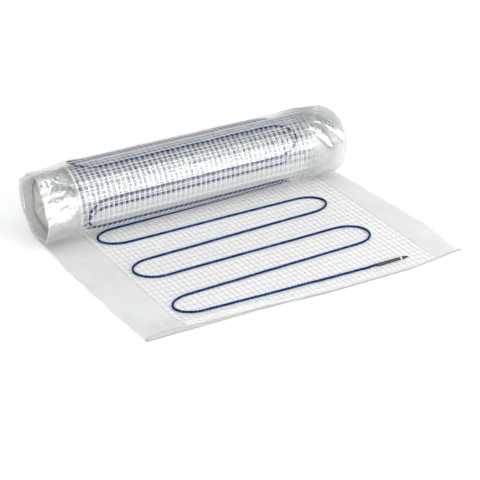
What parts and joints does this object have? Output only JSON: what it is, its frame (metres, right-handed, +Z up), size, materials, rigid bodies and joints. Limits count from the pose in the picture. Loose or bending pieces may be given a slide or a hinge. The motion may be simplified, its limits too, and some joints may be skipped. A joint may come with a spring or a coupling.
{
  "type": "underfloor heating mat",
  "caption": "Electric floor heating mat, part unrolled: looped heating cable on an open fibre mesh and a clear film, with the cable's sealed end on the flat lead.",
  "frame": {"origin": "middle of the whole mat's footprint, on the floor", "axes": "+X along the roll, towards the cable's sealed end; the flat lead runs out towards -Y; +Z up"},
  "size_m": [0.645, 0.4886, 0.1374],
  "materials": {
    "clear_film": "clear glossy polythene",
    "glass_fibre": "white open scrim",
    "cable_blue": "blue with dark twisted flecks",
    "wound_layers": "hazy layers of film and mesh",
    "seal_black": "satin heat-shrink",
    "collar_white": "white insulation"
  },
  "bodies": {
    "root": {"carrier_film": "clear_film", "fibre_mesh": "glass_fibre", "heating_cable": "cable_blue", "wound_turns": "wound_layers", "end_sleeve": "seal_black", "end_collar": "collar_white", "end_tip": "seal_black"}
  },
  "joints": []
}
